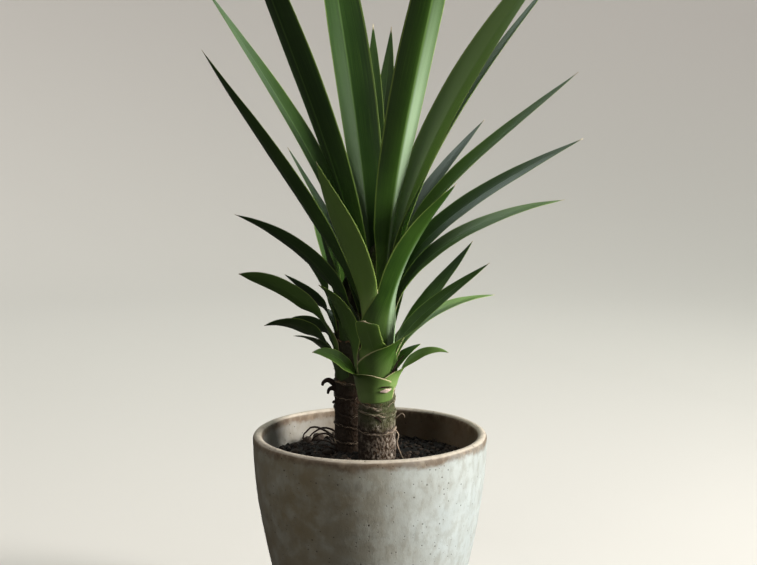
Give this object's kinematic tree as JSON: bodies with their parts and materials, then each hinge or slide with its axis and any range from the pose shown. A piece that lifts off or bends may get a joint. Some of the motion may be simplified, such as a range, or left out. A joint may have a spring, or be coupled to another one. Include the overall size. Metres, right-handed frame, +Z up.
{
  "type": "potted yucca",
  "caption": "House plant: bare ringed canes topped with rosettes of long sword-shaped leaves, growing in a round glazed pot filled with potting mix.",
  "frame": {"origin": "centre of the pot's flat foot, on the surface that the pot stands on", "axes": "+Z up, +X to the plant's right, -Y to its front, which the picture shows; the row is longest along Z"},
  "size_m": [0.2782, 0.1857, 0.5961],
  "materials": {
    "glaze": "satin",
    "mix": "matte",
    "bark": "matte",
    "leaf": "satin"
  },
  "bodies": {
    "root": {"pot": "glaze", "potting_mix": "mix", "cane_front": "bark", "cane_rear": "bark", "leaf_front_01": "leaf", "leaf_front_02": "leaf", "leaf_front_03": "leaf", "leaf_front_04": "leaf", "leaf_front_05": "leaf", "leaf_front_06": "leaf", "leaf_front_07": "leaf", "leaf_front_08": "leaf", "leaf_front_09": "leaf", "leaf_front_10": "leaf", "leaf_front_11": "leaf", "leaf_front_12": "leaf", "leaf_front_13": "leaf", "leaf_front_14": "leaf", "leaf_front_15": "leaf", "leaf_front_16": "leaf", "leaf_front_17": "leaf", "leaf_front_18": "leaf", "leaf_front_19": "leaf", "leaf_front_20": "leaf", "leaf_front_21": "leaf", "leaf_front_22": "leaf", "leaf_front_23": "leaf", "leaf_front_24": "leaf", "leaf_front_25": "leaf", "leaf_front_26": "leaf", "leaf_front_27": "leaf", "leaf_front_stub": "leaf", "leaf_rear_01": "leaf", "leaf_rear_02": "leaf", "leaf_rear_03": "leaf", "leaf_rear_04": "leaf", "leaf_rear_05": "leaf", "leaf_rear_06": "leaf", "leaf_rear_07": "leaf", "leaf_rear_08": "leaf", "leaf_rear_09": "leaf", "leaf_rear_10": "leaf", "leaf_rear_11": "leaf", "leaf_rear_12": "leaf", "leaf_rear_13": "leaf"}
  },
  "joints": []
}
